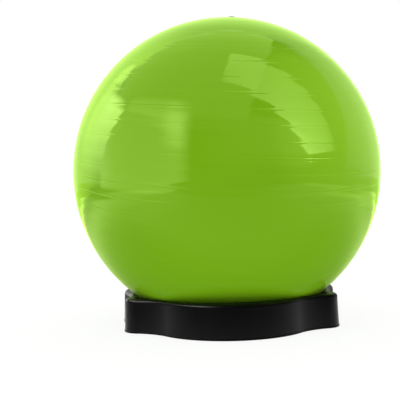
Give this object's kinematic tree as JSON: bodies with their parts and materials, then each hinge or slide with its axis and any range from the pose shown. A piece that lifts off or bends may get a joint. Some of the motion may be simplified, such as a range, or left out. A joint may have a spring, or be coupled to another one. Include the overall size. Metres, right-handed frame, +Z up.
{
  "type": "balance ball chair",
  "caption": "Inflated exercise ball for sitting, standing on the floor inside a low plastic ring with ears; the ball lifts out and its air plug pulls out.",
  "frame": {"origin": "middle of the ring on the floor it stands on", "axes": "+Z up; -Y is the front, where a bulge of the ring faces the viewer; one ear of the ring points to +Y"},
  "size_m": [0.651, 0.6508, 0.6446],
  "materials": {
    "ball_vinyl": "glossy soft PVC, lime green",
    "plug_vinyl": "satin hard PVC",
    "ring_plastic": "satin black moulded plastic",
    "foot_rubber": "matt black rubber"
  },
  "bodies": {
    "ring": {"base_ring": "ring_plastic", "foot_ear_back": "foot_rubber", "foot_ear_left": "foot_rubber", "foot_ear_right": "foot_rubber", "foot_bulge_front": "foot_rubber", "foot_bulge_left": "foot_rubber", "foot_bulge_right": "foot_rubber"},
    "ball": {"ball_shell": "ball_vinyl"},
    "plug": {"valve_plug": "plug_vinyl"}
  },
  "joints": [
    {"name": "ball_lift", "type": "slide", "parent": "ring", "child": "ball", "axis": [0, 0, 1], "range_m": [0, 0.35]},
    {"name": "plug_pull", "type": "slide", "parent": "ball", "child": "plug", "axis": [0.061, -0.1392, 0.9884], "range_m": [0, 0.03]}
  ]
}
